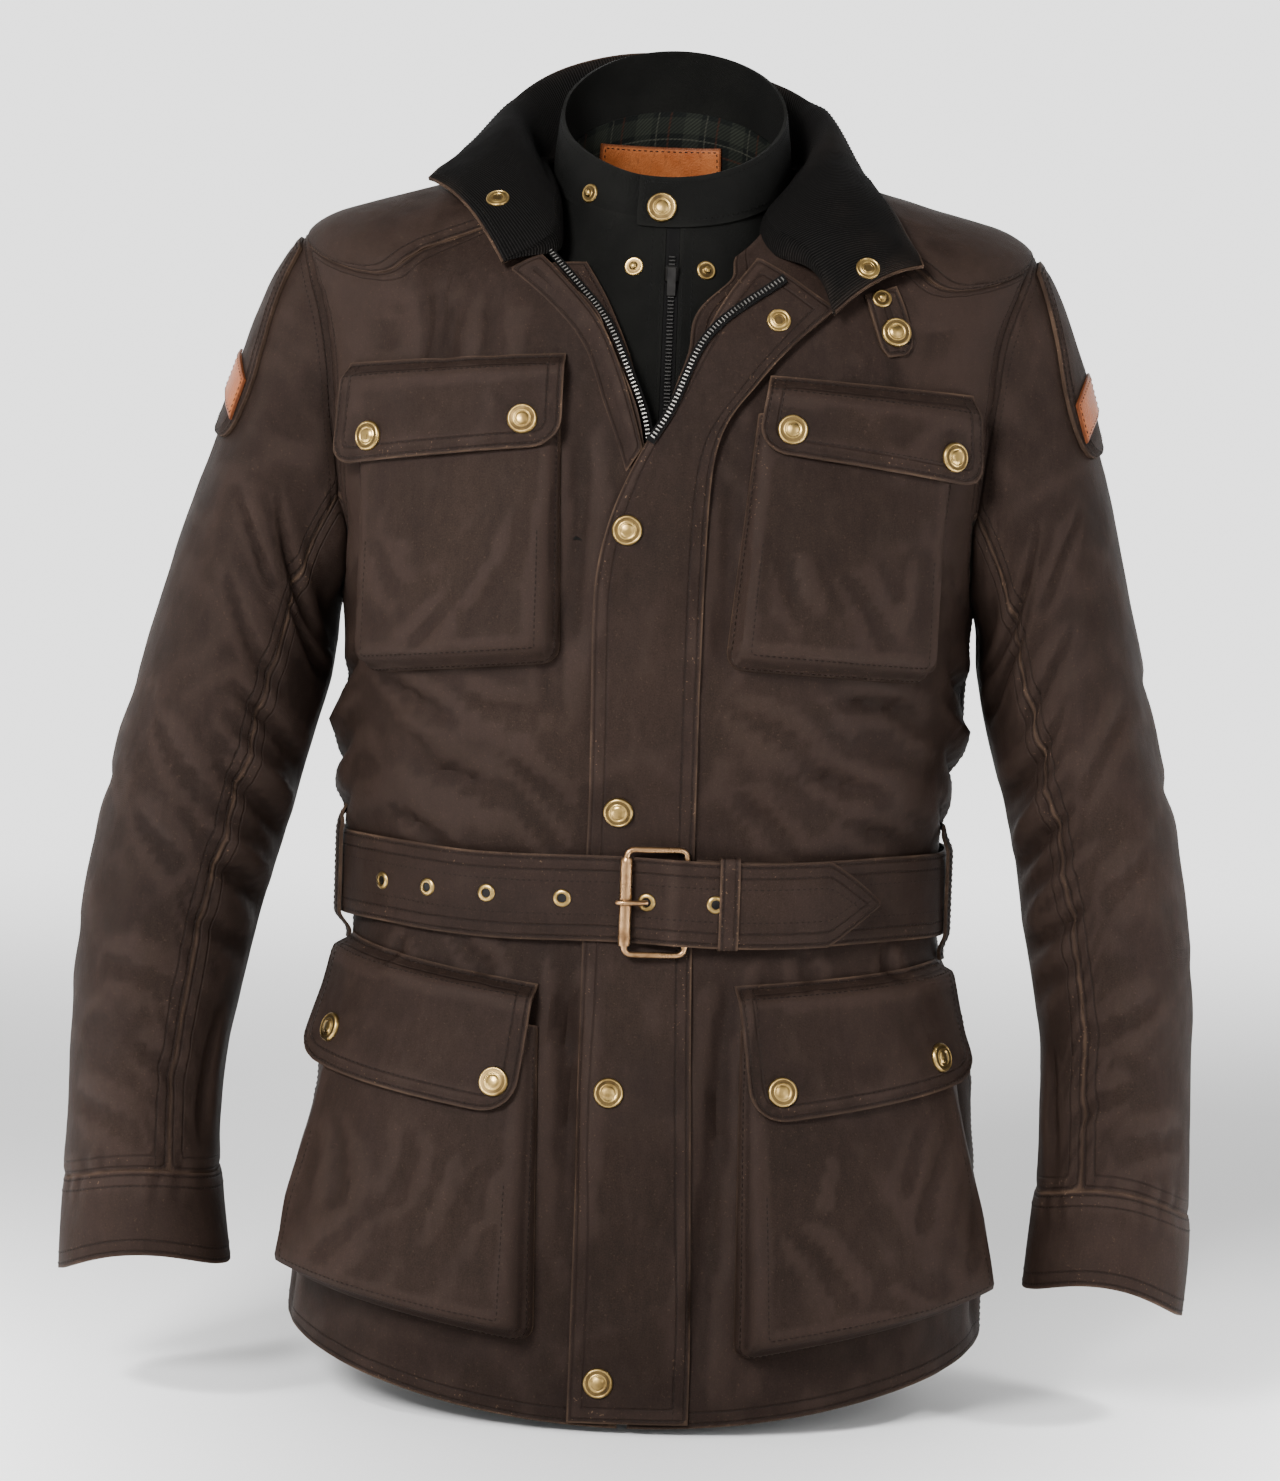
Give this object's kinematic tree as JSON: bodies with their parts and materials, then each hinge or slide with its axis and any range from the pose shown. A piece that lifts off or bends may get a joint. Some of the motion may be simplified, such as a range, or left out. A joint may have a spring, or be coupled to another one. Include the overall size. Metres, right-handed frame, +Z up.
{
  "type": "motorcycle jacket",
  "caption": "Belted motorcycle jacket of brown waxed cotton, with bellows pockets, an open zipped front, a corduroy collar and a black inner collar, filled out as worn.",
  "frame": {"origin": "middle of the neck opening, where a hanger or a stand would hold the jacket", "axes": "+Z up along the back, -Y towards the front, +X towards the left arm of the wearer"},
  "size_m": [0.6751, 0.2993, 0.81],
  "materials": {
    "waxed_cotton": "waxed cotton, dull with a slight sheen",
    "liner_cloth": "smooth black lining cloth",
    "corduroy": "black corduroy",
    "check_lining": "dark checked lining cloth",
    "leather": "tan, bare",
    "brass": "aged",
    "antique_copper": "antique copper",
    "zip_tape": "woven tape",
    "black_metal": "black"
  },
  "bodies": {
    "jacket": {"back": "waxed_cotton", "back_lining": "check_lining", "belt": "waxed_cotton", "belt_keeper": "waxed_cotton", "belt_loop_left": "waxed_cotton", "belt_loop_right": "waxed_cotton", "buckle_frame": "antique_copper", "buckle_prong": "antique_copper", "buckle_roller": "antique_copper", "chest_pocket_left_bag": "waxed_cotton", "chest_pocket_left_flap": "waxed_cotton", "chest_pocket_right_bag": "waxed_cotton", "chest_pocket_right_flap": "waxed_cotton", "collar_face": "corduroy", "collar_strap": "waxed_cotton", "collar_under": "waxed_cotton", "cuff_left": "waxed_cotton", "cuff_right": "waxed_cotton", "facing_left": "waxed_cotton", "front_left": "waxed_cotton", "front_right": "waxed_cotton", "lapel_left": "waxed_cotton", "lapel_right": "waxed_cotton", "liner_collar": "liner_cloth", "liner_front_left": "liner_cloth", "liner_front_right": "liner_cloth", "liner_zip": "zip_tape", "low_pocket_left_bag": "waxed_cotton", "low_pocket_left_flap": "waxed_cotton", "low_pocket_right_bag": "waxed_cotton", "low_pocket_right_flap": "waxed_cotton", "neck_label": "leather", "shoulder_patch_left": "waxed_cotton", "shoulder_patch_right": "waxed_cotton", "sleeve_tab_left": "leather", "sleeve_tab_right": "leather", "snap_chest_pocket_left_1": "brass", "snap_chest_pocket_left_2": "brass", "snap_chest_pocket_right_1": "brass", "snap_chest_pocket_right_2": "brass", "snap_low_pocket_left_1": "brass", "snap_low_pocket_left_2": "brass", "snap_low_pocket_right_1": "brass", "snap_low_pocket_right_2": "brass", "snap_storm_1": "brass", "snap_storm_2": "brass", "snap_storm_3": "brass", "snap_storm_4": "brass", "snap_strap": "brass", "storm_flap": "waxed_cotton", "under_sleeve_left": "waxed_cotton", "under_sleeve_right": "waxed_cotton", "upper_sleeve_left": "waxed_cotton", "upper_sleeve_right": "waxed_cotton", "yoke_left": "waxed_cotton", "yoke_right": "waxed_cotton", "zip_slider": "black_metal", "zip_tape_left": "zip_tape", "zip_tape_right": "zip_tape"},
    "zip_pull": {"zip_pull": "black_metal"}
  },
  "joints": [
    {"name": "zip_pull_hinge", "type": "hinge", "parent": "jacket", "child": "zip_pull", "pos_m": [0.00442, -0.09382, -0.06723], "axis": [1, 0, 0], "range_deg": [-140, 0]}
  ]
}
